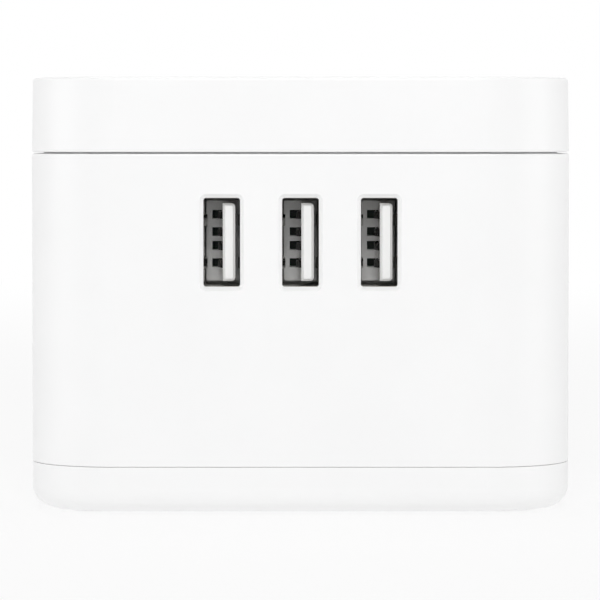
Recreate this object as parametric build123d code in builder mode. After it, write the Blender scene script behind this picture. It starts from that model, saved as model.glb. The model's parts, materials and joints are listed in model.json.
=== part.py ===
from build123d import *
import os

# Cube power strip: a white moulded case with three charging ports in its front, a mains
# outlet in each of the other three sides and a push button in its top.
# Frame: millimetres, +Z up, origin on the standing surface under the middle, front to -Y.

# Case mouldings
case_width = 78.0
case_depth = 78.0
corner_radius = 12.5
base_height = 6.55
shell_height = 44.6
cap_height = 10.7
base_edge_radius = 3.0
cap_edge_radius = 0.5
cap_draft = 1.0
wall = 2.2
cap_plate = 2.4
base_floor = 2.4

# Seams between the mouldings
upper_gap = 0.2
upper_gap_depth = 1.7
upper_seam_radius = 0.35
lower_gap = 0.05
lower_gap_depth = 0.6
lower_seam_radius = 0.12
lip_height = 1.8
lip_root = 2.0
lip_thickness = 1.2
lip_clearance = 0.15

# Feet and the posts that clamp the case together
foot_stand = 0.4
foot_sink = 1.0
foot_radius = 4.5
foot_clearance = 0.1
foot_edge_radius = 0.3
foot_inset = 16.0
post_inset = 9.0
base_post_radius = 4.2
cap_post_radius = 3.5
post_rise = 7.5

# Screws
screw_clearance = 0.2
pilot_clearance = 0.05
pilot_spare = 1.0
case_screw_radius = 1.5
case_screw_seat = 5.0
case_screw_bite = 9.0
case_head_radius = 2.7
case_head_height = 1.8
case_well_radius = 3.1
small_screw_radius = 1.1
small_screw_bite = 4.0
small_head_radius = 2.1
small_head_height = 1.4
cross_length = 2.4
cross_width = 0.6
cross_depth = 0.7
screw_head_taper = 12.0

# Charging ports
port_rise = 32.0
port_pitch = 11.2
port_wall = 1.2
port_pocket_margin = 1.0
window_width = 5.24
window_height = 12.68
window_radius = 0.45
window_chamfer = 0.55
port_opening_width = 5.2
port_opening_height = 12.58
port_gauge = 0.3
port_corner_radius = 0.3
finger_pitch = 6.1
finger_slot_width = 2.1
finger_slot_start = 2.4
finger_slot_length = 4.6
finger_width = 1.6
finger_reach = 0.42
finger_peak_share = 0.7
finger_end_share = 0.95
cavity_depth = 8.9
insulator_clearance = 0.05
plate_margin_side = 0.2
plate_margin_end = 0.5
plate_radius = 0.3
plate_step = 3.0
tongue_height = 11.1
tongue_thickness = 1.78
tongue_offset = 1.01
tongue_recess = 0.6
tongue_radius = 0.55
tongue_bevel = 0.35
contact_slot_reach = 1.69
contact_slot_height = 1.25
contact_rise = 0.3
contact_spacing = (-3.5, -1.0, 1.0, 3.5)
contact_width = 1.0
contact_gauge = 0.25
contact_bump = 0.5
contact_tail = 1.0
contact_root_share = 0.85
contact_rise_share = 0.62
contact_touch_share = 0.5
contact_tip_share = 0.2

# Charger board and what stands on it
board_depth = 14.3
board_gauge = 1.6
board_width = 46.0
board_height = 32.0
board_drop = 4.5
board_boss_radius = 2.8
board_screw_pitch_x = 39.0
board_screw_pitch_z = 25.0
solder_clearance = 0.15
transformer_drop = 11.0
core_width = 16.0
core_height = 14.0
core_thickness = 6.0
core_leg = 4.4
core_side_leg = 2.4
core_yoke = 3.0
winding_overhang = 3.0
winding_clearance = 0.1
input_can_radius = 4.0
input_can_length = 14.0
input_can_x = 13.0
input_can_drop = 14.0
output_can_radius = 3.15
output_can_length = 11.0
output_can_x = -13.0
output_can_drop = 13.0
output_can_pitch = 7.6
can_edge_radius = 0.5
chip_width = 6.2
chip_height = 5.0
chip_thickness = 1.6
chip_pitch = 11.0
chip_rise = 4.0

# Mains outlets
outlet_rise = 27.0
outlet_face = 26.0
outlet_corner = 4.5
outlet_gap = 0.15
outlet_recess = 0.3
outlet_edge_radius = 0.25
outlet_plate = 3.0
block_width = 30.0
block_height = 28.0
block_corner = 1.5
block_depth = 17.0
ear_pitch = 36.4
ear_radius = 2.9
ear_thickness = 2.0
ear_boss_radius = 2.6
ear_boss_height = 5.0
blade_pitch = 12.7
blade_rise = 5.5
blade_slot_width = 2.3
line_slot_height = 7.2
neutral_slot_height = 8.7
earth_drop = 11.9
earth_hole_radius = 2.7
slot_chamfer = 0.3
blade_pocket_width = 6.4
blade_pocket_height = 9.6
earth_pocket_width = 8.4
earth_pocket_height = 7.6

# Brass bars behind the outlets
bus_gauge = 0.7
bus_bend = 2.0
band_height = 3.0
blade_band_gap = 5.2
earth_band_gap = 4.0
leaf_gauge = 0.5
leaf_start = 4.6
leaf_throat = 7.4
blade_clip_height = 6.6
blade_mouth_half = 1.7
blade_throat_half = 0.7
blade_root_half = 1.6
earth_clip_height = 4.4
earth_mouth_half = 2.9
earth_throat_half = 2.3
earth_root_half = 2.7

# Push button and its switch
button_radius = 9.0
button_gap = 0.25
button_recess = 0.15
button_dish = 0.5
button_edge_radius = 0.4
button_hole_radius = 0.4
flange_overlap = 1.4
flange_thickness = 1.2
flange_play = 0.1
stem_radius = 2.8
stem_length = 11.6
stem_gap = 0.3
button_travel = 2.0
spring_height = 4.4
spring_radius = 4.4
spring_wire_radius = 0.3
spring_turns = 2.5
spring_play = 0.03
neck_radius = 5.6
neck_height = 2.5
switch_width = 20.0
switch_depth = 14.0
switch_height = 14.0
switch_corner = 1.0
switch_ear_pitch = 29.0
switch_ear_radius = 3.0
switch_ear_thickness = 2.5
switch_boss_radius = 2.8
terminal_pitch = 10.0
terminal_width = 4.0
terminal_gauge = 0.8
terminal_length = 7.0

# Cord entry and inner leads
gland_rise = 7.0
gland_bore_radius = 3.3
gland_neck_radius = 4.4
gland_flange_radius = 5.4
gland_flange_thickness = 1.0
gland_collar_radius = 5.0
gland_collar_thickness = 1.6
gland_sleeve_length = 3.0
gland_clearance = 0.1
clamp_setback = 24.0
clamp_width = 24.0
clamp_depth = 5.0
clamp_height = 4.0
clamp_groove_radius = 3.4
clamp_screw_pitch = 17.0
clamp_edge_radius = 0.8
lead_radius = 1.0
lead_bend = 2.5
lead_drop = 4.5
switch_lead_setback = 3.8
board_lead_reach = 12.0

# Levels
base_bottom = foot_stand
base_inside = base_bottom + base_floor
lower_seam = base_bottom + base_height
shell_bottom = lower_seam + lower_gap
post_meet = shell_bottom + post_rise
gland_z = shell_bottom + gland_rise
outlet_z = shell_bottom + outlet_rise
port_z = shell_bottom + port_rise
upper_seam = shell_bottom + shell_height
cap_bottom = upper_seam + upper_gap
case_top = cap_bottom + cap_height
cap_inside = case_top - cap_plate
flange_bottom = cap_inside - flange_play - flange_thickness
neck_top = flange_bottom - spring_height
switch_top = neck_top - neck_height
switch_bottom = switch_top - switch_height
blade_z = outlet_z + blade_rise
earth_z = blade_z - earth_drop
board_back = -case_depth / 2 + board_depth + board_gauge
tongue_side = tongue_offset - tongue_thickness / 2
contact_rows = [row + contact_rise for row in contact_spacing]
bus_x = case_width / 2 - block_depth
bus_y = case_depth / 2 - block_depth

# Faces of the case, seen from outside with local Y up
front_face = Plane((0, -case_depth / 2, port_z), x_dir=(1, 0, 0), z_dir=(0, -1, 0))
left_face = Plane((-case_width / 2, 0, outlet_z), x_dir=(0, -1, 0), z_dir=(-1, 0, 0))
right_face = Plane((case_width / 2, 0, outlet_z), x_dir=(0, 1, 0), z_dir=(1, 0, 0))
back_face = Plane((0, case_depth / 2, outlet_z), x_dir=(-1, 0, 0), z_dir=(0, 1, 0))
gland_face = Plane((0, case_depth / 2, gland_z), x_dir=(-1, 0, 0), z_dir=(0, 1, 0))
board_face = Plane((0, board_back, port_z), x_dir=(-1, 0, 0), z_dir=(0, 1, 0))
under_face = Plane((0, 0, base_bottom), x_dir=(1, 0, 0), z_dir=(0, 0, -1))
outlet_faces = {"left": left_face, "right": right_face, "back": back_face}
port_places = {"left": -port_pitch, "middle": 0.0, "right": port_pitch}

# Spacings of the posts and feet along X and Y
post_pitch_x = case_width - 2 * post_inset
post_pitch_y = case_depth - 2 * post_inset
foot_pitch_x = case_width - 2 * foot_inset
foot_pitch_y = case_depth - 2 * foot_inset

clamp_plane = Plane((0, case_depth / 2 - clamp_setback, gland_z), x_dir=(1, 0, 0), z_dir=(0, 0, 1))


def case_outline(inset, mode=Mode.ADD):
    """Draw the plan outline of the case, moved inward by inset."""
    return RectangleRounded(
        case_width - 2 * inset, case_depth - 2 * inset, corner_radius - inset, mode=mode
    )


def save(piece, name):
    """Label a finished piece and write it to its file."""
    piece.part.label = name
    export_step(piece.part, f"parts/{name}.step")


def make_screws(name, seats, shank_radius, shank_length, head_radius, head_height):
    """Make a set of cross-head screws, one on each seat plane, head along the plane's normal."""
    with BuildPart() as screws:
        with BuildSketch(*seats):
            Circle(head_radius)
        extrude(amount=head_height, taper=screw_head_taper)
        with BuildSketch(*seats):
            Circle(shank_radius)
        extrude(amount=-shank_length)
        with BuildSketch(*[seat.offset(head_height) for seat in seats]):
            Rectangle(cross_length, cross_width)
            Rectangle(cross_width, cross_length)
        extrude(amount=-cross_depth, mode=Mode.SUBTRACT)
    save(screws, name)


def make_lead(name, points):
    """Make an insulated lead along straight runs with rounded bends."""
    with BuildPart() as lead:
        with BuildLine() as route:
            FilletPolyline(*points, radius=lead_bend)
        with BuildSketch(Plane(origin=route.line @ 0, z_dir=route.line % 0)):
            Circle(lead_radius)
        sweep()
    save(lead, name)


def make_outlet_block(name, face):
    """Make one mains outlet: a face let into the case wall and the contact pockets behind it."""
    with BuildPart() as block:
        with BuildSketch(face.offset(-outlet_recess)):
            RectangleRounded(outlet_face, outlet_face, outlet_corner)
        extrude(amount=outlet_recess - wall)
        with BuildSketch(face.offset(-wall)):
            RectangleRounded(block_width, block_height, block_corner)
        extrude(amount=wall - block_depth)
        with BuildSketch(face.offset(-wall - ear_boss_height)):
            Rectangle(ear_pitch, 2 * ear_radius)
            with GridLocations(ear_pitch, 0, 2, 1):
                Circle(ear_radius)
                Circle(small_screw_radius + screw_clearance, mode=Mode.SUBTRACT)
        extrude(amount=-ear_thickness)
        with BuildSketch(face.offset(-outlet_recess)):
            with Locations((-blade_pitch / 2, blade_rise)):
                Rectangle(blade_slot_width, neutral_slot_height)
            with Locations((blade_pitch / 2, blade_rise)):
                Rectangle(blade_slot_width, line_slot_height)
            with Locations((0, blade_rise - earth_drop)):
                Circle(earth_hole_radius)
                Rectangle(2 * earth_hole_radius, earth_hole_radius, align=(Align.CENTER, Align.MIN))
        extrude(amount=-block_depth, mode=Mode.SUBTRACT)
        with BuildSketch(face.offset(-block_depth)):
            with Locations((-blade_pitch / 2, blade_rise), (blade_pitch / 2, blade_rise)):
                Rectangle(blade_pocket_width, blade_pocket_height)
            with Locations((0, blade_rise - earth_drop)):
                Rectangle(earth_pocket_width, earth_pocket_height)
        extrude(amount=block_depth - outlet_recess - outlet_plate, mode=Mode.SUBTRACT)
        outward = Axis(face.origin, face.z_dir)
        mouths = block.faces().sort_by(outward)[-1].inner_wires()
        chamfer([edge for mouth in mouths for edge in mouth.edges()], slot_chamfer)
        fillet(block.faces().sort_by(outward)[-1].outer_wire().edges(), outlet_edge_radius)
    save(block, name)


def make_bus(name, across, clip_z, clip_height, band_z, mouth_half, throat_half, root_half):
    """Make a brass bar round the three outlets, with a spring clip behind each of their slots.

    across is the clip's place along each face, seen from outside.
    """
    half = root_half + leaf_gauge
    clip_bottom = clip_z - clip_height / 2
    tab_bottom = min(clip_bottom, band_z)
    tab_top = max(clip_bottom + clip_height, band_z + band_height)
    leaf = (
        (mouth_half, leaf_start),
        (throat_half, leaf_throat),
        (root_half, block_depth),
        (root_half, block_depth + bus_gauge),
        (root_half + leaf_gauge, block_depth + bus_gauge),
        (root_half + leaf_gauge, block_depth),
        (throat_half + leaf_gauge, leaf_throat),
        (mouth_half + leaf_gauge, leaf_start),
    )
    with BuildPart() as bus:
        with BuildSketch(Plane.XY.offset(band_z)):
            with BuildLine():
                FilletPolyline(
                    (-bus_x, -across - half),
                    (-bus_x, bus_y),
                    (bus_x, bus_y),
                    (bus_x, across - half),
                    radius=bus_bend,
                )
                offset(amount=bus_gauge, side=Side.RIGHT)
            make_face()
        extrude(amount=band_height)
        for face in outlet_faces.values():
            plan = Plane((face.origin.X, face.origin.Y, 0), x_dir=face.x_dir, z_dir=(0, 0, 1))
            with BuildSketch(plan.offset(tab_bottom)):
                with Locations((across, block_depth + bus_gauge / 2)):
                    Rectangle(2 * half, bus_gauge)
            extrude(amount=tab_top - tab_bottom)
            with BuildSketch(plan.offset(clip_bottom)):
                with Locations((across, 0)):
                    Polygon(*leaf, align=None)
                    Polygon(*[(-u, depth) for u, depth in leaf], align=None)
            extrude(amount=clip_height)
    save(bus, name)


def make_port(place, x):
    """Make one charging port: sprung shell, stepped insulator with its tongue, and four contacts."""
    mouth = Plane((x, -case_depth / 2 + port_wall, port_z), x_dir=(1, 0, 0), z_dir=(0, -1, 0))
    length = board_depth - port_wall
    side = Plane(mouth.origin, x_dir=(0, 1, 0), z_dir=(1, 0, 0))
    plan = Plane(mouth.origin, x_dir=(1, 0, 0), z_dir=(0, 0, 1))
    half = port_opening_width / 2
    finger_middle = finger_slot_start + finger_peak_share * finger_slot_length
    finger_end = finger_slot_start + finger_end_share * finger_slot_length
    finger = (
        (half + port_gauge, finger_slot_start - port_gauge),
        (half + port_gauge - finger_reach, finger_middle),
        (half + port_gauge, finger_end),
        (half, finger_end),
        (half - finger_reach, finger_middle),
        (half, finger_slot_start - port_gauge),
    )
    with BuildPart() as shell:
        with BuildSketch(mouth):
            RectangleRounded(
                port_opening_width + 2 * port_gauge,
                port_opening_height + 2 * port_gauge,
                port_corner_radius + port_gauge,
            )
            RectangleRounded(
                port_opening_width, port_opening_height, port_corner_radius, mode=Mode.SUBTRACT
            )
        extrude(amount=-length)
        with BuildSketch(side):
            with Locations((finger_slot_start + finger_slot_length / 2, 0)):
                with GridLocations(0, finger_pitch, 1, 2):
                    Rectangle(finger_slot_length, finger_slot_width)
        extrude(amount=half + 2 * port_gauge, both=True, mode=Mode.SUBTRACT)
        finger_rows = [plan.offset(row * finger_pitch / 2) for row in (-1, 1)]
        with BuildSketch(*finger_rows):
            Polygon(*finger, align=None)
            Polygon(*[(-u, depth) for u, depth in finger], align=None)
        extrude(amount=finger_width / 2, both=True)
    save(shell, f"port_shell_{place}")

    with BuildPart() as insulator:
        with BuildSketch(mouth.offset(-cavity_depth)):
            RectangleRounded(
                port_opening_width - 2 * plate_margin_side,
                port_opening_height - 2 * plate_margin_end,
                plate_radius,
            )
        extrude(amount=-plate_step)
        with BuildSketch(mouth.offset(-cavity_depth - plate_step)):
            RectangleRounded(
                port_opening_width - 2 * insulator_clearance,
                port_opening_height - 2 * insulator_clearance,
                port_corner_radius,
            )
        extrude(amount=cavity_depth + plate_step - length)
        with BuildSketch(mouth.offset(-cavity_depth)):
            for row in contact_rows:
                with Locations((tongue_side, row)):
                    Rectangle(contact_slot_reach, contact_slot_height, align=(Align.MAX, Align.CENTER))
        extrude(amount=cavity_depth - length, mode=Mode.SUBTRACT)
        with BuildSketch(mouth.offset(-tongue_recess)) as tongue:
            with Locations((tongue_offset, 0)):
                Rectangle(tongue_thickness, tongue_height)
            fillet(tongue.vertices().group_by(Axis.X)[-1], tongue_radius)
        extrude(amount=tongue_recess - cavity_depth)
        chamfer(insulator.faces().sort_by(Axis.Y)[0].edges(), tongue_bevel)
    save(insulator, f"port_insulator_{place}")

    spring = (
        (tongue_side, length + board_gauge + contact_tail),
        (tongue_side, contact_root_share * cavity_depth),
        (tongue_side - contact_bump, contact_rise_share * cavity_depth),
        (tongue_side - contact_bump, contact_touch_share * cavity_depth),
        (tongue_side, contact_tip_share * cavity_depth),
    )
    outer_side = [(u - contact_gauge, depth) for u, depth in reversed(spring)]
    with BuildPart() as contacts:
        with BuildSketch(*[plan.offset(row) for row in contact_rows]):
            Polygon(*spring, *outer_side, align=None)
        extrude(amount=contact_width / 2, both=True)
    save(contacts, f"port_contacts_{place}")


os.makedirs("parts", exist_ok=True)

# Base: tray with posts for the long screws, a cradle for the cord and sunk places for the feet
with BuildPart() as base_tray:
    with BuildSketch(Plane.XY.offset(base_bottom)):
        case_outline(0)
    extrude(amount=base_height)
    fillet(base_tray.faces().sort_by(Axis.Z)[0].edges(), base_edge_radius)
    fillet(base_tray.faces().sort_by(Axis.Z)[-1].edges(), lower_seam_radius)
    with BuildSketch(Plane.XY.offset(base_inside)):
        case_outline(wall)
    extrude(amount=base_height, mode=Mode.SUBTRACT)
    with BuildSketch(Plane.XY.offset(lower_seam - lip_root)):
        case_outline(wall)
        case_outline(wall + lip_clearance + lip_thickness, mode=Mode.SUBTRACT)
    extrude(amount=lip_root)
    with BuildSketch(Plane.XY.offset(lower_seam)):
        case_outline(lower_gap_depth)
        case_outline(wall, mode=Mode.SUBTRACT)
    extrude(amount=lower_gap)
    with BuildSketch(Plane.XY.offset(lower_seam)):
        case_outline(wall + lip_clearance)
        case_outline(wall + lip_clearance + lip_thickness, mode=Mode.SUBTRACT)
    extrude(amount=lip_height)
    with BuildSketch(Plane.XY.offset(base_inside)):
        with GridLocations(post_pitch_x, post_pitch_y, 2, 2):
            Circle(base_post_radius)
    extrude(amount=post_meet - base_inside)
    with Locations(under_face):
        with GridLocations(post_pitch_x, post_pitch_y, 2, 2):
            CounterBoreHole(
                case_screw_radius + screw_clearance,
                case_well_radius,
                post_meet - case_screw_seat - base_bottom,
                depth=post_meet - base_bottom,
            )
    with BuildSketch(under_face):
        with GridLocations(foot_pitch_x, foot_pitch_y, 2, 2):
            Circle(foot_radius + foot_clearance)
    extrude(amount=-foot_sink, mode=Mode.SUBTRACT)
    with BuildSketch(clamp_plane):
        Rectangle(clamp_width, clamp_depth)
    extrude(amount=base_inside - gland_z)
    with BuildSketch(gland_face.offset(-clamp_setback)):
        Circle(clamp_groove_radius)
    extrude(amount=clamp_depth, both=True, mode=Mode.SUBTRACT)
    with Locations(clamp_plane):
        with GridLocations(clamp_screw_pitch, 0, 2, 1):
            Hole(small_screw_radius + pilot_clearance, depth=small_screw_bite + pilot_spare)
save(base_tray, "base_tray")

# Main shell: square tube with the port windows, the outlet windows and the cord entry
with BuildPart() as main_shell:
    with BuildSketch(Plane.XY.offset(shell_bottom)):
        case_outline(0)
    extrude(amount=shell_height)
    fillet(main_shell.faces().sort_by(Axis.Z)[0].edges(), lower_seam_radius)
    fillet(main_shell.faces().sort_by(Axis.Z)[-1].edges(), upper_seam_radius)
    with BuildSketch(Plane.XY.offset(shell_bottom)):
        case_outline(wall)
    extrude(amount=shell_height, mode=Mode.SUBTRACT)
    with BuildSketch(front_face.offset(-port_wall)):
        Rectangle(
            2 * port_pitch + port_opening_width + 2 * (port_gauge + port_pocket_margin),
            port_opening_height + 2 * (port_gauge + port_pocket_margin),
        )
    extrude(amount=-wall, mode=Mode.SUBTRACT)
    with BuildSketch(front_face):
        with GridLocations(port_pitch, 0, 3, 1):
            RectangleRounded(window_width, window_height, window_radius)
    extrude(amount=-wall, mode=Mode.SUBTRACT)
    windows = main_shell.faces().sort_by(Axis.Y)[0].inner_wires()
    chamfer([edge for window in windows for edge in window.edges()], window_chamfer)
    for face in outlet_faces.values():
        with BuildSketch(face):
            RectangleRounded(
                outlet_face + 2 * outlet_gap, outlet_face + 2 * outlet_gap, outlet_corner + outlet_gap
            )
        extrude(amount=-wall, mode=Mode.SUBTRACT)
        outer_skin = main_shell.faces().sort_by(Axis(face.origin, face.z_dir))[-1]
        fillet(outer_skin.inner_wires()[0].edges(), outlet_edge_radius)
        with BuildSketch(face.offset(-wall)):
            with GridLocations(ear_pitch, 0, 2, 1):
                Circle(ear_boss_radius)
        extrude(amount=-ear_boss_height)
        ear_seat = face.offset(-wall - ear_boss_height)
        with Locations(Plane(ear_seat.origin, x_dir=face.x_dir, z_dir=-face.z_dir)):
            with GridLocations(ear_pitch, 0, 2, 1):
                Hole(small_screw_radius + pilot_clearance, depth=small_screw_bite + pilot_spare)
    with BuildSketch(front_face.offset(-wall)):
        with Locations((0, -board_drop)):
            with GridLocations(board_screw_pitch_x, board_screw_pitch_z, 2, 2):
                Circle(board_boss_radius)
    extrude(amount=wall - board_depth)
    with BuildSketch(front_face.offset(-board_depth)):
        with Locations((0, -board_drop)):
            with GridLocations(board_screw_pitch_x, board_screw_pitch_z, 2, 2):
                Circle(small_screw_radius + pilot_clearance)
    extrude(amount=small_screw_bite + pilot_spare, mode=Mode.SUBTRACT)
    with Locations(gland_face):
        CounterBoreHole(
            gland_neck_radius + gland_clearance,
            gland_flange_radius + gland_clearance,
            gland_flange_thickness,
            depth=wall,
        )
save(main_shell, "main_shell")

# Cap: drafted lid with a stepped lower rim, long posts, the button hole and the switch bosses
with BuildPart() as top_cap:
    with BuildSketch(Plane.XY.offset(cap_bottom)):
        case_outline(0)
    extrude(amount=cap_height, taper=cap_draft)
    fillet(top_cap.faces().sort_by(Axis.Z)[0].edges(), upper_seam_radius)
    fillet(top_cap.faces().sort_by(Axis.Z)[-1].edges(), cap_edge_radius)
    with BuildSketch(Plane.XY.offset(upper_seam)):
        case_outline(upper_gap_depth)
    extrude(amount=upper_gap)
    with BuildSketch(Plane.XY.offset(upper_seam)):
        case_outline(wall)
    extrude(amount=cap_inside - upper_seam, taper=cap_draft, mode=Mode.SUBTRACT)
    with BuildSketch(Plane.XY.offset(upper_seam)):
        case_outline(wall)
        case_outline(wall + lip_clearance + lip_thickness, mode=Mode.SUBTRACT)
    extrude(amount=lip_root)
    with BuildSketch(Plane.XY.offset(upper_seam - lip_height)):
        case_outline(wall + lip_clearance)
        case_outline(wall + lip_clearance + lip_thickness, mode=Mode.SUBTRACT)
    extrude(amount=lip_height)
    with BuildSketch(Plane.XY.offset(post_meet)):
        with GridLocations(post_pitch_x, post_pitch_y, 2, 2):
            Circle(cap_post_radius)
    extrude(amount=cap_inside - post_meet)
    with BuildSketch(Plane.XY.offset(post_meet)):
        with GridLocations(post_pitch_x, post_pitch_y, 2, 2):
            Circle(case_screw_radius + pilot_clearance)
    extrude(amount=case_screw_bite + pilot_spare, mode=Mode.SUBTRACT)
    with BuildSketch(Plane.XY.offset(cap_inside)):
        Circle(button_radius + button_gap)
    extrude(amount=cap_plate, mode=Mode.SUBTRACT)
    fillet(top_cap.faces().sort_by(Axis.Z)[-1].inner_wires()[0].edges(), button_hole_radius)
    with BuildSketch(Plane.XY.offset(switch_top)):
        with GridLocations(switch_ear_pitch, 0, 2, 1):
            Circle(switch_boss_radius)
    extrude(amount=cap_inside - switch_top)
    with BuildSketch(Plane.XY.offset(switch_top)):
        with GridLocations(switch_ear_pitch, 0, 2, 1):
            Circle(small_screw_radius + pilot_clearance)
    extrude(amount=small_screw_bite + pilot_spare, mode=Mode.SUBTRACT)
save(top_cap, "top_cap")

with BuildPart() as rubber_feet:
    with BuildSketch():
        with GridLocations(foot_pitch_x, foot_pitch_y, 2, 2):
            Circle(foot_radius)
    extrude(amount=foot_stand + foot_sink)
    fillet(rubber_feet.edges().group_by(Axis.Z)[0], foot_edge_radius)
save(rubber_feet, "rubber_feet")

# Charging ports in the front
for port_place, port_x in port_places.items():
    make_port(port_place, port_x)

# Charger board behind the ports
with BuildPart() as charger_board:
    with BuildSketch(front_face.offset(-board_depth)):
        with Locations((0, -board_drop)):
            Rectangle(board_width, board_height)
            with GridLocations(board_screw_pitch_x, board_screw_pitch_z, 2, 2):
                Circle(small_screw_radius + screw_clearance, mode=Mode.SUBTRACT)
        for port_x in port_places.values():
            for contact_row in contact_rows:
                with Locations((port_x + tongue_side - contact_gauge / 2, contact_row)):
                    Rectangle(
                        contact_gauge + 2 * solder_clearance,
                        contact_width + 2 * solder_clearance,
                        mode=Mode.SUBTRACT,
                    )
    extrude(amount=-board_gauge)
save(charger_board, "charger_board")

# Transformer: a closed core with its winding round the middle leg
core_y = board_back + winding_overhang + core_thickness / 2
core_z = port_z - transformer_drop
core_window = (core_width - core_leg - 2 * core_side_leg) / 2
winding_height = core_height - 2 * core_yoke - 2 * winding_clearance
with BuildPart() as transformer_core:
    with BuildSketch(board_face.offset(winding_overhang)):
        with Locations((0, -transformer_drop)):
            Rectangle(core_width, core_height)
            with GridLocations(core_leg + core_window, 0, 2, 1):
                Rectangle(core_window, core_height - 2 * core_yoke, mode=Mode.SUBTRACT)
    extrude(amount=core_thickness)
save(transformer_core, "transformer_core")

with BuildPart() as transformer_winding:
    with BuildSketch(Plane((0, core_y, core_z - winding_height / 2))):
        RectangleRounded(
            core_leg + 2 * (core_window - winding_clearance),
            core_thickness + 2 * winding_overhang,
            winding_overhang / 2,
        )
        Rectangle(
            core_leg + 2 * winding_clearance,
            core_thickness + 2 * winding_clearance,
            mode=Mode.SUBTRACT,
        )
    extrude(amount=winding_height)
save(transformer_winding, "transformer_winding")

with BuildPart() as input_capacitor:
    with BuildSketch(board_face):
        with Locations((-input_can_x, -input_can_drop)):
            Circle(input_can_radius)
    extrude(amount=input_can_length)
    fillet(input_capacitor.edges().sort_by(Axis.Y)[-1], can_edge_radius)
save(input_capacitor, "input_capacitor")

with BuildPart() as output_capacitors:
    with BuildSketch(board_face):
        with Locations((-output_can_x, -output_can_drop)):
            with GridLocations(0, output_can_pitch, 1, 2):
                Circle(output_can_radius)
    extrude(amount=output_can_length)
    fillet(output_capacitors.edges().group_by(Axis.Y)[-1], can_edge_radius)
save(output_capacitors, "output_capacitors")

with BuildPart() as control_chips:
    with BuildSketch(board_face):
        with Locations((0, chip_rise)):
            with GridLocations(chip_pitch, 0, 2, 1):
                Rectangle(chip_width, chip_height)
    extrude(amount=chip_thickness)
save(control_chips, "control_chips")

# Mains outlets and the brass bars behind them
for outlet_place, outlet_plane in outlet_faces.items():
    make_outlet_block(f"outlet_block_{outlet_place}", outlet_plane)
blade_clip = (blade_mouth_half, blade_throat_half, blade_root_half)
earth_clip = (earth_mouth_half, earth_throat_half, earth_root_half)
line_band_z = blade_z + blade_band_gap
neutral_band_z = blade_z - blade_band_gap - band_height
earth_band_z = earth_z - earth_band_gap - band_height
make_bus("line_bus", blade_pitch / 2, blade_z, blade_clip_height, line_band_z, *blade_clip)
make_bus("neutral_bus", -blade_pitch / 2, blade_z, blade_clip_height, neutral_band_z, *blade_clip)
make_bus("earth_bus", 0, earth_z, earth_clip_height, earth_band_z, *earth_clip)

# Push button: dished top, stop flange under the cap and the stem that works the switch
button_top = case_top - button_recess
with BuildPart() as power_button:
    with BuildSketch(Plane.XZ):
        with BuildLine():
            Polyline(
                (0, button_top - button_dish),
                (0, flange_bottom - stem_length),
                (stem_radius, flange_bottom - stem_length),
                (stem_radius, flange_bottom),
                (button_radius + flange_overlap, flange_bottom),
                (button_radius + flange_overlap, flange_bottom + flange_thickness),
                (button_radius, flange_bottom + flange_thickness),
                (button_radius, button_top),
            )
            ThreePointArc(
                (button_radius, button_top),
                (button_radius / 2, button_top - 0.75 * button_dish),
                (0, button_top - button_dish),
            )
        make_face()
    revolve(axis=Axis.Z)
    fillet(power_button.edges().filter_by(GeomType.CIRCLE).sort_by(Axis.Z)[-1], button_edge_radius)
save(power_button, "power_button")

coil_bottom = neck_top + spring_wire_radius + spring_play
coil_height = spring_height - 2 * (spring_wire_radius + spring_play)
with BuildPart() as button_spring:
    with BuildLine() as coil:
        Helix(coil_height / spring_turns, coil_height, spring_radius, center=(0, 0, coil_bottom))
    with BuildSketch(Plane(origin=coil.line @ 0, z_dir=coil.line % 0)):
        Circle(spring_wire_radius)
    sweep(is_frenet=True)
save(button_spring, "button_spring")

with BuildPart() as switch_body:
    with BuildSketch(Plane.XY.offset(switch_top)):
        RectangleRounded(switch_width, switch_depth, switch_corner)
    extrude(amount=-switch_height)
    with BuildSketch(Plane.XY.offset(switch_top)):
        Rectangle(switch_ear_pitch, 2 * switch_ear_radius)
        with GridLocations(switch_ear_pitch, 0, 2, 1):
            Circle(switch_ear_radius)
            Circle(small_screw_radius + screw_clearance, mode=Mode.SUBTRACT)
    extrude(amount=-switch_ear_thickness)
    with BuildSketch(Plane.XY.offset(switch_top)):
        Circle(neck_radius)
    extrude(amount=neck_height)
    with Locations((0, 0, neck_top)):
        Hole(stem_radius + stem_gap, depth=stem_length - spring_height + button_travel + stem_gap)
save(switch_body, "switch_body")

with BuildPart() as switch_terminals:
    with BuildSketch(Plane.XY.offset(switch_bottom)):
        with GridLocations(terminal_pitch, 0, 2, 1):
            Rectangle(terminal_gauge, terminal_width)
    extrude(amount=-terminal_length)
save(switch_terminals, "switch_terminals")

# Cord entry: bushing in the back wall and the clamp behind it
collar_end = wall + gland_collar_thickness
sleeve_end = collar_end + gland_sleeve_length
with BuildPart() as cord_bushing:
    with BuildSketch(gland_face):
        Circle(gland_flange_radius)
    extrude(amount=-gland_flange_thickness)
    with BuildSketch(gland_face):
        Circle(gland_neck_radius)
    extrude(amount=-sleeve_end)
    with BuildSketch(gland_face.offset(-wall)):
        Circle(gland_collar_radius)
    extrude(amount=-gland_collar_thickness)
    with Locations(gland_face):
        Hole(gland_bore_radius, depth=sleeve_end)
save(cord_bushing, "cord_bushing")

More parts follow.
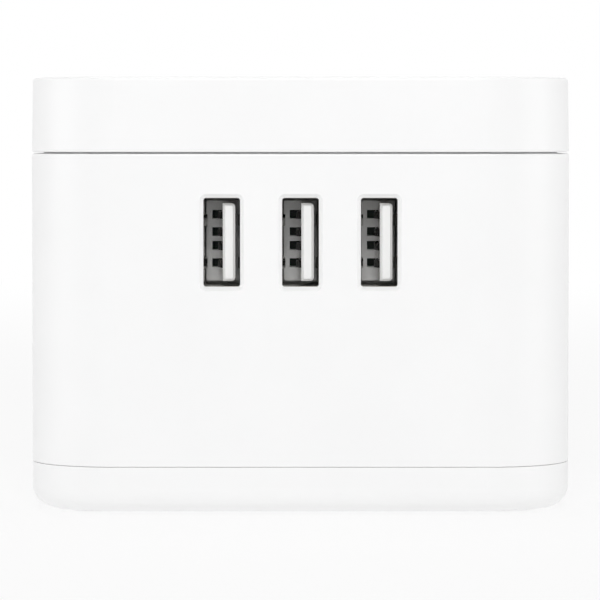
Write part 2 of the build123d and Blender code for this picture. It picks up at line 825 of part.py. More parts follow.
with BuildPart() as cord_clamp:
    with BuildSketch(clamp_plane):
        Rectangle(clamp_width, clamp_depth)
        with GridLocations(clamp_screw_pitch, 0, 2, 1):
            Circle(small_screw_radius + screw_clearance, mode=Mode.SUBTRACT)
    extrude(amount=clamp_height)
    with BuildSketch(gland_face.offset(-clamp_setback)):
        Circle(clamp_groove_radius)
    extrude(amount=clamp_depth, both=True, mode=Mode.SUBTRACT)
    fillet(cord_clamp.edges().filter_by(Axis.Z).group_by(Axis.X)[0], clamp_edge_radius)
    fillet(cord_clamp.edges().filter_by(Axis.Z).group_by(Axis.X)[-1], clamp_edge_radius)
save(cord_clamp, "cord_clamp")

# Inner leads: switch to the line bar, and both bars to the board
line_lead_z = line_band_z + band_height / 2
neutral_lead_z = neutral_band_z + band_height / 2
bar_inside = bus_x - bus_gauge
switch_lead_x = bar_inside - switch_lead_setback
board_lead_y = -blade_pitch / 2
terminal_end = switch_bottom - terminal_length
switch_lead_route = (
    (-terminal_pitch / 2, 0, terminal_end),
    (-terminal_pitch / 2, 0, terminal_end - lead_drop),
    (-switch_lead_x, 0, terminal_end - lead_drop),
    (-switch_lead_x, 0, line_lead_z),
    (-bar_inside, 0, line_lead_z),
)
make_lead("switch_lead", switch_lead_route)
board_line_route = (
    (-board_lead_reach, board_back, line_lead_z),
    (-board_lead_reach, board_lead_y, line_lead_z),
    (-bar_inside, board_lead_y, line_lead_z),
)
make_lead("board_line_lead", board_line_route)
board_neutral_route = (
    (board_lead_reach, board_back, neutral_lead_z),
    (board_lead_reach, board_lead_y, neutral_lead_z),
    (bar_inside, board_lead_y, neutral_lead_z),
)
make_lead("board_neutral_lead", board_neutral_route)

# Screws
case_seats = [
    Plane((x, y, post_meet - case_screw_seat), z_dir=(0, 0, -1))
    for x in (-post_pitch_x / 2, post_pitch_x / 2)
    for y in (-post_pitch_y / 2, post_pitch_y / 2)
]
case_screw_length = case_screw_seat + case_screw_bite
make_screws(
    "case_screws", case_seats, case_screw_radius, case_screw_length, case_head_radius, case_head_height
)
ear_depth = wall + ear_boss_height + ear_thickness
outlet_seats = [
    Plane(
        face.origin - face.z_dir * ear_depth + face.x_dir * (ear_side * ear_pitch / 2),
        x_dir=face.x_dir,
        z_dir=-face.z_dir,
    )
    for face in outlet_faces.values()
    for ear_side in (-1, 1)
]
make_screws(
    "outlet_screws",
    outlet_seats,
    small_screw_radius,
    small_screw_bite + ear_thickness,
    small_head_radius,
    small_head_height,
)
board_seats = [
    Plane((x, board_back, port_z - board_drop + z), x_dir=(1, 0, 0), z_dir=(0, 1, 0))
    for x in (-board_screw_pitch_x / 2, board_screw_pitch_x / 2)
    for z in (-board_screw_pitch_z / 2, board_screw_pitch_z / 2)
]
make_screws(
    "board_screws",
    board_seats,
    small_screw_radius,
    small_screw_bite + board_gauge,
    small_head_radius,
    small_head_height,
)
switch_seats = [
    Plane((x, 0, switch_top - switch_ear_thickness), z_dir=(0, 0, -1))
    for x in (-switch_ear_pitch / 2, switch_ear_pitch / 2)
]
make_screws(
    "switch_screws",
    switch_seats,
    small_screw_radius,
    small_screw_bite + switch_ear_thickness,
    small_head_radius,
    small_head_height,
)
clamp_seats = [
    Plane((x, clamp_plane.origin.Y, gland_z + clamp_height), z_dir=(0, 0, 1))
    for x in (-clamp_screw_pitch / 2, clamp_screw_pitch / 2)
]
make_screws(
    "clamp_screws",
    clamp_seats,
    small_screw_radius,
    small_screw_bite + clamp_height,
    small_head_radius,
    small_head_height,
)
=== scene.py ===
"""Looks of the cube power strip: finishes, the button's sign and coil, stage, light and camera."""
import json
import logging
import math
from dataclasses import dataclass, field
from enum import Enum

import bmesh
import bpy
from mathutils import Euler, Matrix, Vector


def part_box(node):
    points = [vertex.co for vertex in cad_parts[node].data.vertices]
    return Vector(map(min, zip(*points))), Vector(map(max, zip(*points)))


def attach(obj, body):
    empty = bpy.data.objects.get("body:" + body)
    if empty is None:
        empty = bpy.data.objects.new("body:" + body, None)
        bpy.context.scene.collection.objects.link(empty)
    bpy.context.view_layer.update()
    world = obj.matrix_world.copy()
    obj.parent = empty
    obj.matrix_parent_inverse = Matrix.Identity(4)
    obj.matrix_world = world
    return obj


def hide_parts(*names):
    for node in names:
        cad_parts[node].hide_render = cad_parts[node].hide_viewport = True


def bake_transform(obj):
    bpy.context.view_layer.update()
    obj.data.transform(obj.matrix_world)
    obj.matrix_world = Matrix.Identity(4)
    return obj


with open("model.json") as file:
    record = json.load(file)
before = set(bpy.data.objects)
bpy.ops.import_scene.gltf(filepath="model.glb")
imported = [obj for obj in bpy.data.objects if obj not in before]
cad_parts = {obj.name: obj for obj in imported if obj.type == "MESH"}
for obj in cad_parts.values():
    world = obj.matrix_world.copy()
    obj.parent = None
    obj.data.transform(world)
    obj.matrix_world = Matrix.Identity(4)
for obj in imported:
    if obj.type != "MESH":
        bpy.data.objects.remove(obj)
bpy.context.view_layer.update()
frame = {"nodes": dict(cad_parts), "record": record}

LOG = logging.getLogger("cube_power_strip")
MILLIMETRE = 0.001
MICROMETRE = 0.000001
WAVE_LENGTH = 0.314
WHITE = (1.0, 1.0, 1.0, 1.0)

Colour = tuple[float, float, float]
Point = tuple[float, float, float]


class Run(Enum):
    """The way that a grain or a streak runs, as how short its pattern is along X, Y and Z."""

    EVEN = (1.0, 1.0, 1.0)
    ALONG_X = (0.06, 1.0, 1.0)
    ALONG_Y = (1.0, 0.06, 1.0)


class Body(Enum):
    """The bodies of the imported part."""

    CASE = "case"
    BUTTON = "button"


class NodeSheet:
    """A material's node tree, with short calls for the nodes that the finishes share."""

    PATTERN_LOW = 0.3
    PATTERN_HIGH = 0.7

    def __init__(self, name: str) -> None:
        """Start a material with its shader and its place on the piece.

        Args:
            name: The material's name.
        """
        self.material = bpy.data.materials.new(name)
        self.material.use_nodes = True
        self.tree = self.material.node_tree
        self.shader = self.tree.nodes["Principled BSDF"]
        self.coordinates = self.tree.nodes.new("ShaderNodeTexCoord")

    def join(self, source: bpy.types.NodeSocket, target: bpy.types.NodeSocket) -> None:
        """Link an output socket to an input socket."""
        self.tree.links.new(source, target)

    def place(self, run: Run) -> bpy.types.NodeSocket:
        """Give the place on the piece, squeezed so that a pattern runs along one way.

        Args:
            run: The way that the pattern runs.

        Returns:
            The vector socket for a texture.
        """
        mapping = self.tree.nodes.new("ShaderNodeMapping")
        mapping.inputs["Scale"].default_value = run.value
        self.join(self.coordinates.outputs["Object"], mapping.inputs["Vector"])
        return mapping.outputs["Vector"]

    def noise(self, size: float, detail: float = 2.0, run: Run = Run.EVEN) -> bpy.types.NodeSocket:
        """Add soft noise.

        Args:
            size: The width of one blotch, in metres.
            detail: How many finer layers lie on it.
            run: The way that it runs.

        Returns:
            The noise's value socket.
        """
        texture = self.tree.nodes.new("ShaderNodeTexNoise")
        texture.inputs["Scale"].default_value = 1.0 / size
        texture.inputs["Detail"].default_value = detail
        self.join(self.place(run), texture.inputs["Vector"])
        return texture.outputs["Fac"]

    def cells(self, size: float) -> bpy.types.NodeSocket:
        """Add a pattern of cells, as of sintered grains.

        Args:
            size: The width of one cell, in metres.

        Returns:
            The socket with the distance from each cell's middle.
        """
        texture = self.tree.nodes.new("ShaderNodeTexVoronoi")
        texture.inputs["Scale"].default_value = 1.0 / size
        self.join(self.place(Run.EVEN), texture.inputs["Vector"])
        return texture.outputs["Distance"]

    def spread(self, source: bpy.types.NodeSocket, low: float, high: float) -> bpy.types.NodeSocket:
        """Map the middle part of a pattern to a range of values.

        Args:
            source: The pattern's socket.
            low: The value where the pattern is low.
            high: The value where the pattern is high.

        Returns:
            The mapped value's socket.
        """
        mapped = self.tree.nodes.new("ShaderNodeMapRange")
        mapped.inputs["From Min"].default_value = self.PATTERN_LOW
        mapped.inputs["From Max"].default_value = self.PATTERN_HIGH
        mapped.inputs["To Min"].default_value = low
        mapped.inputs["To Max"].default_value = high
        self.join(source, mapped.inputs["Value"])
        return mapped.outputs["Result"]

    def blend(
        self, share: bpy.types.NodeSocket, first: Colour, second: Colour
    ) -> bpy.types.NodeSocket:
        """Mix two colours by a pattern.

        Args:
            share: The pattern, 0 for the first colour and 1 for the second.
            first: The colour at 0.
            second: The colour at 1.

        Returns:
            The mixed colour's socket.
        """
        mix = self.tree.nodes.new("ShaderNodeMix")
        mix.data_type = "RGBA"
        mix.inputs["A"].default_value = (*first, 1.0)
        mix.inputs["B"].default_value = (*second, 1.0)
        self.join(share, mix.inputs["Factor"])
        return mix.outputs["Result"]

    def raise_by(
        self, height: bpy.types.NodeSocket, depth: float, under: bpy.types.NodeSocket | None = None
    ) -> bpy.types.NodeSocket:
        """Turn a pattern into a relief of the surface.

        Args:
            height: The pattern's socket.
            depth: How deep the relief is, in metres.
            under: A relief that this one lies on.

        Returns:
            The normal's socket.
        """
        bump = self.tree.nodes.new("ShaderNodeBump")
        bump.inputs["Distance"].default_value = depth
        self.join(height, bump.inputs["Height"])
        if under is not None:
            self.join(under, bump.inputs["Normal"])
        return bump.outputs["Normal"]

    def wear(self, socket: str, source: bpy.types.NodeSocket) -> None:
        """Lead a pattern into one of the shader's sockets."""
        self.join(source, self.shader.inputs[socket])

    def fix(self, **values: float) -> None:
        """Set sockets of the shader that are the same all over, named with _ for a space."""
        for name, value in values.items():
            self.shader.inputs[name.replace("_", " ")].default_value = value


@dataclass(frozen=True)
class Finish:
    """A finish that pieces wear, with the name of its slot in the record."""

    slot: str

    def shade(self, sheet: NodeSheet) -> None:
        """Add the finish's own nodes to a sheet."""
        raise NotImplementedError

    def material(self) -> bpy.types.Material:
        """Make the material, or give the one that is there.

        Returns:
            The finish's material.
        """
        name = f"finish_{self.slot}"
        if name not in bpy.data.materials:
            self.shade(NodeSheet(name))
        return bpy.data.materials[name]


@dataclass(frozen=True)
class MouldedPlastic(Finish):
    """Injection-moulded plastic: a faint flow mottle, a soft ripple and the mould's fine grain."""

    colour: Colour = (0.9, 0.9, 0.9)
    shade_of: float = 0.985
    roughness: float = 0.35
    rough_spread: float = 0.04
    mottle_size: float = 14 * MILLIMETRE
    ripple_size: float = 2.6 * MILLIMETRE
    ripple_depth: float = 4 * MICROMETRE
    grain_size: float = 0.16 * MILLIMETRE
    grain_depth: float = 1.5 * MICROMETRE

    def shade(self, sheet: NodeSheet) -> None:
        """Add flow mottle, ripple and grain.

        Args:
            sheet: The material's nodes.
        """
        darker = tuple(self.shade_of * part for part in self.colour)
        mottle = sheet.spread(sheet.noise(self.mottle_size, detail=3.0), 0.0, 1.0)
        sheet.wear("Base Color", sheet.blend(mottle, self.colour, darker))
        grain = sheet.noise(self.grain_size, detail=1.0)
        low, high = self.roughness - self.rough_spread, self.roughness + self.rough_spread
        sheet.wear("Roughness", sheet.spread(grain, low, high))
        ripple = sheet.raise_by(sheet.noise(self.ripple_size, detail=0.0), self.ripple_depth)
        sheet.wear("Normal", sheet.raise_by(grain, self.grain_depth, ripple))


@dataclass(frozen=True)
class StampedMetal(Finish):
    """Rolled and stamped metal: streaks along the strip, a little tarnish and fine scratches."""

    colour: Colour = (0.6, 0.6, 0.6)
    tarnish: Colour = (0.5, 0.5, 0.5)
    roughness: float = 0.32
    rough_spread: float = 0.1
    run: Run = Run.ALONG_Y
    streak_size: float = 0.12 * MILLIMETRE
    streak_depth: float = 2 * MICROMETRE
    tarnish_size: float = 3.0 * MILLIMETRE

    def shade(self, sheet: NodeSheet) -> None:
        """Add streaks and tarnish.

        Args:
            sheet: The material's nodes.
        """
        sheet.fix(Metallic=1.0)
        streaks = sheet.noise(self.streak_size, run=self.run)
        stain = sheet.spread(sheet.noise(self.tarnish_size, detail=4.0), 0.0, 1.0)
        sheet.wear("Base Color", sheet.blend(stain, self.colour, self.tarnish))
        low, high = self.roughness - self.rough_spread, self.roughness + self.rough_spread
        sheet.wear("Roughness", sheet.spread(streaks, low, high))
        sheet.wear("Normal", sheet.raise_by(streaks, self.streak_depth))


@dataclass(frozen=True)
class MattRubber(Finish):
    """Moulded rubber: dull, with a pitted skin and a dusty bloom."""

    colour: Colour = (0.4, 0.4, 0.4)
    bloom: Colour = (0.45, 0.45, 0.45)
    roughness: float = 0.78
    rough_spread: float = 0.08
    pit_size: float = 0.35 * MILLIMETRE
    pit_depth: float = 12 * MICROMETRE
    bloom_size: float = 2.4 * MILLIMETRE

    def shade(self, sheet: NodeSheet) -> None:
        """Add pits and bloom.

        Args:
            sheet: The material's nodes.
        """
        bloom = sheet.spread(sheet.noise(self.bloom_size, detail=4.0), 0.0, 1.0)
        sheet.wear("Base Color", sheet.blend(bloom, self.colour, self.bloom))
        pits = sheet.noise(self.pit_size, detail=3.0)
        low, high = self.roughness - self.rough_spread, self.roughness + self.rough_spread
        sheet.wear("Roughness", sheet.spread(pits, low, high))
        sheet.wear("Normal", sheet.raise_by(pits, self.pit_depth))


@dataclass(frozen=True)
class SolderMask(Finish):
    """Printed board: green mask over copper tracks, which show paler and stand a little proud."""

    bare: Colour = (0.004, 0.02, 0.01)
    over_copper: Colour = (0.008, 0.045, 0.022)
    cell_width: float = 4.4 * MILLIMETRE
    track_rise: float = 30 * MICROMETRE
    weave_size: float = 0.3 * MILLIMETRE
    weave_depth: float = 3 * MICROMETRE
    smoothest: float = 0.25
    roughest: float = 0.4
    shine: float = 0.2

    def shade(self, sheet: NodeSheet) -> None:
        """Add tracks and the mask's weave.

        Args:
            sheet: The material's nodes.
        """
        sheet.fix(Specular_IOR_Level=self.shine)
        tracks = sheet.tree.nodes.new("ShaderNodeTexVoronoi")
        tracks.distance = "CHEBYCHEV"
        tracks.feature = "F1"
        tracks.inputs["Scale"].default_value = 1.0 / self.cell_width
        sheet.join(sheet.coordinates.outputs["Object"], tracks.inputs["Vector"])
        edge = sheet.spread(tracks.outputs["Distance"], 0.0, 1.0)
        sheet.wear("Base Color", sheet.blend(edge, self.over_copper, self.bare))
        weave = sheet.noise(self.weave_size, detail=1.0)
        sheet.wear("Roughness", sheet.spread(weave, self.smoothest, self.roughest))
        raised = sheet.raise_by(edge, -self.track_rise)
        sheet.wear("Normal", sheet.raise_by(weave, self.weave_depth, raised))


@dataclass(frozen=True)
class SinteredFerrite(Finish):
    """Sintered core: near black, with grains that catch the light."""

    colour: Colour = (0.06, 0.06, 0.065)
    grain: Colour = (0.13, 0.13, 0.135)
    grain_size: float = 0.22 * MILLIMETRE
    grain_depth: float = 18 * MICROMETRE
    smoothest: float = 0.45
    roughest: float = 0.75

    def shade(self, sheet: NodeSheet) -> None:
        """Add the sintered grains.

        Args:
            sheet: The material's nodes.
        """
        cells = sheet.cells(self.grain_size)
        sheet.wear("Base Color", sheet.blend(cells, self.colour, self.grain))
        sheet.wear("Roughness", sheet.spread(cells, self.smoothest, self.roughest))
        sheet.wear("Normal", sheet.raise_by(cells, self.grain_depth))


@dataclass(frozen=True)
class WoundTape(Finish):
    """Winding under layers of tape: bands that overlap round the bobbin, a little glossy."""

    colour: Colour = (0.72, 0.5, 0.06)
    overlap: Colour = (0.6, 0.38, 0.04)
    band: float = 1.6 * MILLIMETRE
    edge_rise: float = 40 * MICROMETRE
    waver: float = 0.6
    crease_size: float = 0.8 * MILLIMETRE
    smoothest: float = 0.25
    roughest: float = 0.45

    def shade(self, sheet: NodeSheet) -> None:
        """Add the tape's bands.

        Args:
            sheet: The material's nodes.
        """
        bands = sheet.tree.nodes.new("ShaderNodeTexWave")
        bands.bands_direction = "Z"
        bands.wave_profile = "SAW"
        bands.inputs["Scale"].default_value = WAVE_LENGTH / self.band
        bands.inputs["Distortion"].default_value = self.waver
        sheet.join(sheet.coordinates.outputs["Object"], bands.inputs["Vector"])
        sheet.wear("Base Color", sheet.blend(bands.outputs["Fac"], self.colour, self.overlap))
        crease = sheet.noise(self.crease_size)
        sheet.wear("Roughness", sheet.spread(crease, self.smoothest, self.roughest))
        sheet.wear("Normal", sheet.raise_by(bands.outputs["Fac"], self.edge_rise))


@dataclass(frozen=True)
class CanSleeve(Finish):
    """Capacitor can: a shrunk sleeve round it and bare aluminium on its end."""

    sleeve: Colour = (0.02, 0.021, 0.027)
    end: Colour = (0.75, 0.75, 0.76)
    ripple_size: float = 1.1 * MILLIMETRE
    ripple_depth: float = 6 * MICROMETRE
    end_facing: float = 0.95
    smoothest: float = 0.22
    roughest: float = 0.36

    def shade(self, sheet: NodeSheet) -> None:
        """Add the sleeve and the bare end, told apart by the way that the surface faces.

        Args:
            sheet: The material's nodes.
        """
        facing = sheet.tree.nodes.new("ShaderNodeSeparateXYZ")
        sheet.join(sheet.coordinates.outputs["Normal"], facing.inputs["Vector"])
        is_end = sheet.tree.nodes.new("ShaderNodeMath")
        is_end.operation = "GREATER_THAN"
        is_end.inputs[1].default_value = self.end_facing
        sheet.join(facing.outputs["Y"], is_end.inputs[0])
        sheet.wear("Base Color", sheet.blend(is_end.outputs["Value"], self.sleeve, self.end))
        sheet.wear("Metallic", is_end.outputs["Value"])
        ripple = sheet.noise(self.ripple_size)
        sheet.wear("Roughness", sheet.spread(ripple, self.smoothest, self.roughest))
        sheet.wear("Normal", sheet.raise_by(ripple, self.ripple_depth))


class Finishes(Enum):
    """The finishes of this part, one for each material slot of the record."""

    CASE = MouldedPlastic("case_white", colour=(0.93, 0.93, 0.93))
    OUTLET = MouldedPlastic("outlet_white", colour=(0.9, 0.9, 0.9), roughness=0.5)
    BUTTON = MouldedPlastic("button_white", colour=(0.92, 0.92, 0.92), roughness=0.3)
    SPRING = StampedMetal(
        "spring_steel", colour=(0.6, 0.6, 0.61), tarnish=(0.5, 0.5, 0.5), run=Run.EVEN
    )
    SWITCH = MouldedPlastic("switch_black", colour=(0.03, 0.03, 0.034), shade_of=0.8, roughness=0.5)
    BRASS = StampedMetal(
        "terminal_brass", colour=(0.8, 0.58, 0.24), tarnish=(0.62, 0.42, 0.16), run=Run.ALONG_X
    )
    FOOT = MattRubber("foot_rubber", colour=(0.16, 0.16, 0.165), bloom=(0.2, 0.2, 0.2))
    BUSHING = MattRubber(
        "bushing_rubber", colour=(0.8, 0.8, 0.8), bloom=(0.85, 0.85, 0.85), roughness=0.6
    )
    INNER = MouldedPlastic("inner_plastic", colour=(0.7, 0.7, 0.68), roughness=0.55)
    BOARD = SolderMask("board_green")
    CORE = SinteredFerrite("ferrite")
    WINDING = WoundTape("winding_tape")
    CAN = CanSleeve("can_sleeve")
    CHIP = MouldedPlastic("chip_black", colour=(0.02, 0.02, 0.02), shade_of=0.8, roughness=0.6)
    LEAD_BLACK = MouldedPlastic(
        "lead_black", colour=(0.02, 0.02, 0.022), shade_of=0.8, roughness=0.42
    )
    LEAD_WHITE = MouldedPlastic("lead_white", colour=(0.8, 0.8, 0.78), roughness=0.42)
    PORT_METAL = StampedMetal(
        "port_metal",
        colour=(0.55, 0.54, 0.52),
        tarnish=(0.44, 0.43, 0.41),
        roughness=0.22,
        rough_spread=0.07,
    )
    PORT_WHITE = MouldedPlastic("port_white", colour=(0.93, 0.93, 0.92), roughness=0.45)
    # Painted shade: the contacts' metal and its tarnish are coloured near black, as dark as the
    # contacts look in shadow deep in each port.
    CONTACT_PAINTED_SHADE = StampedMetal(
        "contact_metal", colour=(0.012, 0.011, 0.01), tarnish=(0.006, 0.006, 0.006)
    )
    SCREW = StampedMetal(
        "screw_steel", colour=(0.56, 0.56, 0.57), tarnish=(0.46, 0.46, 0.46), run=Run.EVEN
    )

    @classmethod
    def by_slot(cls, slot: str) -> Finish:
        """Find the finish of a slot of the record."""
        return next(member.value for member in cls if member.value.slot == slot)


@dataclass
class SubAssembly:
    """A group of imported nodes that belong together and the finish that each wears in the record."""

    title: str
    nodes: tuple[str, ...]

    def dress(self) -> None:
        """Put each node's finish on it."""
        slots = {part["node"]: part["material_slot"] for part in frame["record"]["subparts"]}
        for node in self.nodes:
            finish = Finishes.by_slot(slots[node])
            for place in frame["nodes"][node].material_slots:
                place.material = finish.material()
            LOG.info("%s: %s wears %s", self.title, node, finish.slot)


@dataclass
class ButtonGroup(SubAssembly):
    """The push button and its switch, the raised sign in its dish and the coil under the button."""

    ring_radius: float = 2.3 * MILLIMETRE
    stroke: float = 0.5 * MILLIMETRE
    opening: float = math.radians(64)
    bar_length: float = 2.3 * MILLIMETRE
    bar_inside: float = 0.25
    stands: float = 0.13 * MILLIMETRE
    sinks: float = 0.1 * MILLIMETRE
    rounding: float = 0.06 * MILLIMETRE
    rounding_steps: int = 3
    rim_angle: float = math.radians(60)
    ring_steps: int = 56
    wire_radius: float = 0.3 * MILLIMETRE
    wire_sides: int = 14
    coil_turns: float = 2.5
    turn_steps: int = 48

    def piece(self, name: str, form: bmesh.types.BMesh, finish: Finish) -> bpy.types.Object:
        """Turn a form into an object of the scene that wears a finish.

        Args:
            name: The piece's name.
            form: The modelled form, which is freed.
            finish: The finish that the piece wears.

        Returns:
            The piece's object, at the origin.
        """
        mesh = bpy.data.meshes.new(name)
        form.to_mesh(mesh)
        form.free()
        mesh.materials.append(finish.material())
        made = bpy.data.objects.new(name, mesh)
        bpy.context.scene.collection.objects.link(made)
        LOG.info("%s: %s with %d faces", self.title, name, len(mesh.polygons))
        return made

    def build_spring(self) -> bpy.types.Object:
        """Model the return spring: a fixed coil that stands on the switch.

        Returns:
            The spring's object, standing fixed under the button.
        """
        low, high = (Vector(corner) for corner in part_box("button_spring"))
        radius = high.x - self.wire_radius
        steps = round(self.coil_turns * self.turn_steps)
        climb = (high.z - low.z - 2 * self.wire_radius) / steps
        form = bmesh.new()
        wire = bmesh.ops.create_circle(
            form, cap_ends=True, segments=self.wire_sides, radius=self.wire_radius
        )["verts"]
        upright = Matrix.Rotation(math.pi / 2, 3, "X")
        bmesh.ops.rotate(form, verts=wire, cent=(0, 0, 0), matrix=upright)
        bmesh.ops.translate(form, verts=wire, vec=(radius, 0.0, low.z + self.wire_radius))
        bmesh.ops.spin(
            form,
            geom=[*form.faces, *form.edges, *form.verts],
            cent=(0, 0, 0),
            axis=(0, 0, 1),
            dvec=(0.0, 0.0, climb),
            angle=2 * math.pi * self.coil_turns,
            steps=steps,
        )
        bmesh.ops.recalc_face_normals(form, faces=form.faces)
        for face in form.faces:
            face.smooth = len(face.verts) == 4
        coil = self.piece("return_spring", form, Finishes.SPRING.value)
        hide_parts("button_spring")
        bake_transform(coil)
        return coil

    def dish_level(self) -> float:
        """Find the top of the button's mesh under the sign.

        Returns:
            The height where the sign stands, in metres.
        """
        mesh = frame["nodes"]["power_button"].data
        middle = [v.co.z for v in mesh.vertices if math.hypot(v.co.x, v.co.y) < self.ring_radius]
        return max(middle)

    def build_sign(self) -> bpy.types.Object:
        """Model the sign: an open ring with a bar in its gap, standing a little over the dish.

        Returns:
            The sign's object, riding on the button.
        """
        form = bmesh.new()
        low = self.dish_level() - self.sinks
        height = self.stands + self.sinks
        half = self.stroke / 2
        start = math.pi / 2 + self.opening / 2
        sweep = 2 * math.pi - self.opening
        profile = [
            form.verts.new((self.ring_radius + across, 0.0, low + up))
            for across, up in ((-half, 0.0), (half, 0.0), (half, height), (-half, height))
        ]
        section = form.faces.new(profile)
        bmesh.ops.rotate(form, verts=profile, cent=(0, 0, 0), matrix=Matrix.Rotation(start, 3, "Z"))
        bmesh.ops.spin(
            form,
            geom=[section, *section.edges, *profile],
            cent=(0, 0, 0),
            axis=(0, 0, 1),
            angle=sweep,
            steps=self.ring_steps,
        )
        bar = bmesh.ops.create_cube(form, size=1.0)["verts"]
        bmesh.ops.scale(form, verts=bar, vec=(self.stroke, self.bar_length, height))
        middle = self.ring_radius + half - self.bar_inside * self.bar_length
        bmesh.ops.translate(form, verts=bar, vec=(0.0, middle, low + height / 2))
        bmesh.ops.recalc_face_normals(form, faces=form.faces)
        top = [e for e in form.edges if self.is_rim(e, low + height)]
        bmesh.ops.bevel(
            form,
            geom=top,
            offset=self.rounding,
            segments=self.rounding_steps,
            profile=0.5,
            affect="EDGES",
            material=-1,
        )
        sign = self.piece("button_sign", form, Finishes.INNER.value)
        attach(sign, Body.BUTTON.value)
        return sign

    def is_rim(self, edge: bmesh.types.BMEdge, level: float) -> bool:
        """Tell if an edge lies round the top of the sign, between its top and its side."""
        at_top = all(abs(vert.co.z - level) < MICROMETRE for vert in edge.verts)
        return at_top and len(edge.link_faces) == 2 and edge.calc_face_angle() > self.rim_angle


def looking(place: Point, aim: Point) -> Euler:
    """Give the turn of a lamp or camera at a place that looks at an aim."""
    return (Vector(aim) - Vector(place)).to_track_quat("-Z", "Y").to_euler()


@dataclass
class Lamp:
    """A soft square lamp that looks at the part."""

    name: str
    place: Point
    size: float
    watts: float
    aim: Point = (0.0, 0.0, 0.032)

    def build(self) -> None:
        """Add the lamp to the scene."""
        light = bpy.data.lights.new(self.name, "AREA")
        light.shape = "SQUARE"
        light.size = self.size
        light.energy = self.watts
        lamp = bpy.data.objects.new(self.name, light)
        lamp.location = self.place
        lamp.rotation_euler = looking(self.place, self.aim)
        bpy.context.scene.collection.objects.link(lamp)
        LOG.info("studio: %s at %s", self.name, self.place)


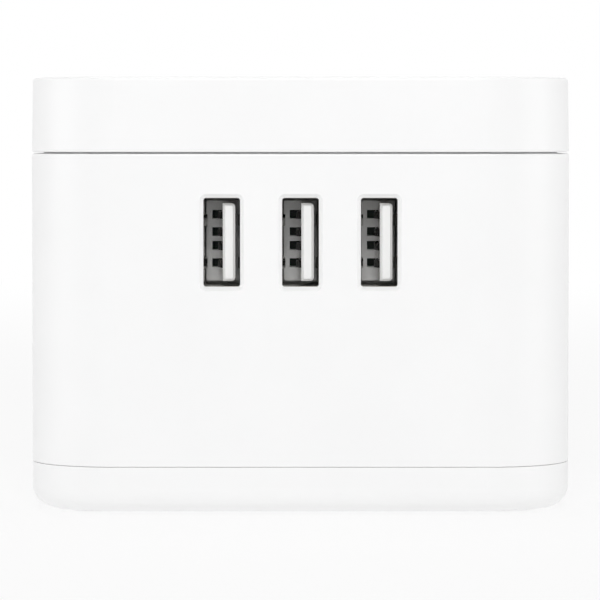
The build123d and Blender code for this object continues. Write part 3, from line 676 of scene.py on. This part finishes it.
@dataclass
class Studio:
    """The white stage, its even light and its lamps."""

    floor_size: float = 40.0
    floor_colour: Colour = (0.97, 0.97, 0.97)
    floor_through: float = 0.7
    floor_glow: float = 0.4
    fade_start: float = 0.1
    fade_end: float = 0.8
    ambient: float = 0.4
    lamps: tuple[Lamp, ...] = field(
        default_factory=lambda: (
            Lamp("lamp_front", (0.0, -1.04, 0.97), 0.4, 4.3),
            Lamp("lamp_fill", (0.0, -1.13, 0.38), 0.5, 1.4),
            Lamp("lamp_left", (-1.35, -0.36, 0.4), 0.9, 4.0),
            Lamp("lamp_right", (1.35, -0.36, 0.4), 0.9, 4.0),
            Lamp("lamp_top", (0.0, 0.3, 1.5), 0.9, 4.4),
        )
    )

    @staticmethod
    def seen(tree: bpy.types.NodeTree) -> bpy.types.NodeSocket:
        """Tell the rays that see the stage from those that only light the part.

        Args:
            tree: The node tree of the world or of the floor.

        Returns:
            A socket that is 1 for camera, glossy and transmission rays.
        """
        path = tree.nodes.new("ShaderNodeLightPath")
        total = path.outputs["Is Camera Ray"]
        for name in ("Is Glossy Ray", "Is Transmission Ray"):
            either = tree.nodes.new("ShaderNodeMath")
            either.operation = "MAXIMUM"
            tree.links.new(total, either.inputs[0])
            tree.links.new(path.outputs[name], either.inputs[1])
            total = either.outputs["Value"]
        return total

    def build_world(self) -> None:
        """Light the part evenly from all sides, with white behind it."""
        world = bpy.data.worlds.new("studio_world")
        world.use_nodes = True
        tree = world.node_tree
        tree.nodes.clear()
        light = tree.nodes.new("ShaderNodeBackground")
        light.inputs["Color"].default_value = WHITE
        light.inputs["Strength"].default_value = self.ambient
        white = tree.nodes.new("ShaderNodeBackground")
        white.inputs["Color"].default_value = WHITE
        mix = tree.nodes.new("ShaderNodeMixShader")
        output = tree.nodes.new("ShaderNodeOutputWorld")
        tree.links.new(self.seen(tree), mix.inputs["Fac"])
        tree.links.new(light.outputs["Background"], mix.inputs[1])
        tree.links.new(white.outputs["Background"], mix.inputs[2])
        tree.links.new(mix.outputs["Shader"], output.inputs["Surface"])
        bpy.context.scene.world = world

    def glow_share(self, tree: bpy.types.NodeTree) -> bpy.types.NodeSocket:
        """Let the floor's glow grow with the distance from the part, for rays that see the stage.

        Args:
            tree: The node tree of the floor.

        Returns:
            The socket with the glow's share.
        """
        place = tree.nodes.new("ShaderNodeTexCoord")
        away = tree.nodes.new("ShaderNodeVectorMath")
        away.operation = "LENGTH"
        tree.links.new(place.outputs["Object"], away.inputs["Vector"])
        fade = tree.nodes.new("ShaderNodeMapRange")
        fade.interpolation_type = "SMOOTHSTEP"
        fade.inputs["From Min"].default_value = self.fade_start
        fade.inputs["From Max"].default_value = self.fade_end
        fade.inputs["To Min"].default_value = self.floor_glow
        fade.inputs["To Max"].default_value = 1.0
        tree.links.new(away.outputs["Value"], fade.inputs["Value"])
        share = tree.nodes.new("ShaderNodeMath")
        share.operation = "MULTIPLY"
        tree.links.new(self.seen(tree), share.inputs[0])
        tree.links.new(fade.outputs["Result"], share.inputs[1])
        return share.outputs["Value"]

    def floor_material(self) -> bpy.types.Material:
        """Make white acrylic that lets light through and is seen as nearly white.

        Returns:
            The floor's material.
        """
        material = bpy.data.materials.new("floor_white")
        material.use_nodes = True
        tree = material.node_tree
        tree.nodes.clear()
        matt = tree.nodes.new("ShaderNodeBsdfDiffuse")
        matt.inputs["Color"].default_value = (*self.floor_colour, 1.0)
        through = tree.nodes.new("ShaderNodeBsdfTranslucent")
        through.inputs["Color"].default_value = (*self.floor_colour, 1.0)
        sheet = tree.nodes.new("ShaderNodeMixShader")
        sheet.inputs["Fac"].default_value = self.floor_through
        tree.links.new(matt.outputs["BSDF"], sheet.inputs[1])
        tree.links.new(through.outputs["BSDF"], sheet.inputs[2])
        glow = tree.nodes.new("ShaderNodeEmission")
        glow.inputs["Color"].default_value = WHITE
        glow.inputs["Strength"].default_value = 1.0
        mix = tree.nodes.new("ShaderNodeMixShader")
        output = tree.nodes.new("ShaderNodeOutputMaterial")
        tree.links.new(self.glow_share(tree), mix.inputs["Fac"])
        tree.links.new(sheet.outputs["Shader"], mix.inputs[1])
        tree.links.new(glow.outputs["Emission"], mix.inputs[2])
        tree.links.new(mix.outputs["Shader"], output.inputs["Surface"])
        return material

    def build_floor(self) -> None:
        """Lay the floor, which keeps a faint shadow near the part and fades into the world."""
        form = bmesh.new()
        bmesh.ops.create_grid(form, x_segments=1, y_segments=1, size=self.floor_size / 2)
        mesh = bpy.data.meshes.new("floor")
        form.to_mesh(mesh)
        form.free()
        mesh.materials.append(self.floor_material())
        floor = bpy.data.objects.new("floor", mesh)
        bpy.context.scene.collection.objects.link(floor)
        LOG.info("studio: floor")

    def build(self) -> None:
        """Set the stage, the light and the way that colours are shown."""
        bpy.context.scene.view_settings.view_transform = "Standard"
        self.build_world()
        self.build_floor()
        for lamp in self.lamps:
            lamp.build()


@dataclass
class PhotoCamera:
    """The camera, straight in front of the ports and a little above the seam under the cap."""

    place: Point = (-0.00007, -0.544, 0.05365)
    aim: Point = (-0.00007, -0.039, 0.03083)
    focal_pixels: float = 3558.0
    frame_pixels: float = 600.0
    sensor: float = 36.0
    nearest: float = 0.01
    furthest: float = 20.0

    def build(self) -> None:
        """Add the camera and make it the scene's own."""
        data = bpy.data.cameras.new("photo_camera")
        data.sensor_width = self.sensor
        data.lens = self.sensor * self.focal_pixels / self.frame_pixels
        data.clip_start = self.nearest
        data.clip_end = self.furthest
        camera = bpy.data.objects.new("photo_camera", data)
        camera.location = self.place
        camera.rotation_euler = looking(self.place, self.aim)
        bpy.context.scene.collection.objects.link(camera)
        bpy.context.scene.camera = camera
        LOG.info("studio: photo_camera with a %.1f mm lens", data.lens)


def side_names(stem: str, sides: tuple[str, ...]) -> tuple[str, ...]:
    """Name the nodes of a piece that repeats on several sides."""
    return tuple(f"{stem}_{side}" for side in sides)


def main() -> None:
    """Dress the part and set the studio."""
    logging.basicConfig(level=logging.INFO, format="%(message)s")
    ports = ("left", "middle", "right")
    outlets = ("left", "right", "back")
    groups = (
        SubAssembly("case", ("top_cap", "main_shell", "base_tray", "rubber_feet", "case_screws")),
        SubAssembly(
            "charging ports",
            side_names("port_shell", ports)
            + side_names("port_insulator", ports)
            + side_names("port_contacts", ports),
        ),
        SubAssembly(
            "charger",
            (
                "charger_board",
                "transformer_core",
                "transformer_winding",
                "input_capacitor",
                "output_capacitors",
                "control_chips",
                "board_screws",
                "board_line_lead",
                "board_neutral_lead",
            ),
        ),
        SubAssembly(
            "outlets",
            side_names("outlet_block", outlets)
            + ("line_bus", "neutral_bus", "earth_bus", "outlet_screws"),
        ),
        SubAssembly("cord entry", ("cord_bushing", "cord_clamp", "clamp_screws")),
    )
    for group in groups:
        group.dress()
    button = ButtonGroup(
        "button",
        (
            "power_button",
            "button_spring",
            "switch_body",
            "switch_terminals",
            "switch_screws",
            "switch_lead",
        ),
    )
    button.dress()
    button.build_spring()
    button.build_sign()
    Studio().build()
    PhotoCamera().build()


if __name__ == "__main__":
    main()
